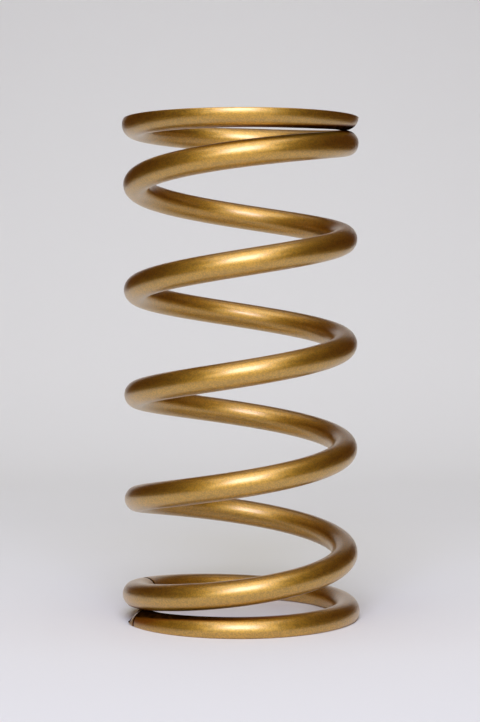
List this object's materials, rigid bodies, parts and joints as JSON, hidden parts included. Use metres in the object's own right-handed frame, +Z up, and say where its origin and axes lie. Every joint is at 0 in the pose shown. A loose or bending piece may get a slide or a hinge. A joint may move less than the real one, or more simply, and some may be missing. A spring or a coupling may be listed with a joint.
{
  "type": "helical compression spring",
  "caption": "Right-hand compression coil spring of round wire with closed, ground ends, painted satin gold; it sits between two seats around a damper or guide rod and pushes them apart.",
  "frame": {"origin": "on the coil's axis, in the plane of the lower ground seat", "axes": "+Z up along the coil's axis to the upper seat; -Y is the side the picture looks at, and the lower tip is on the -X side"},
  "size_m": [0.0852, 0.0852, 0.1786],
  "materials": {
    "gold_paint": "satin metallic gold under a clear coat"
  },
  "bodies": {
    "root": {"coil_spring": "gold_paint"}
  },
  "joints": []
}
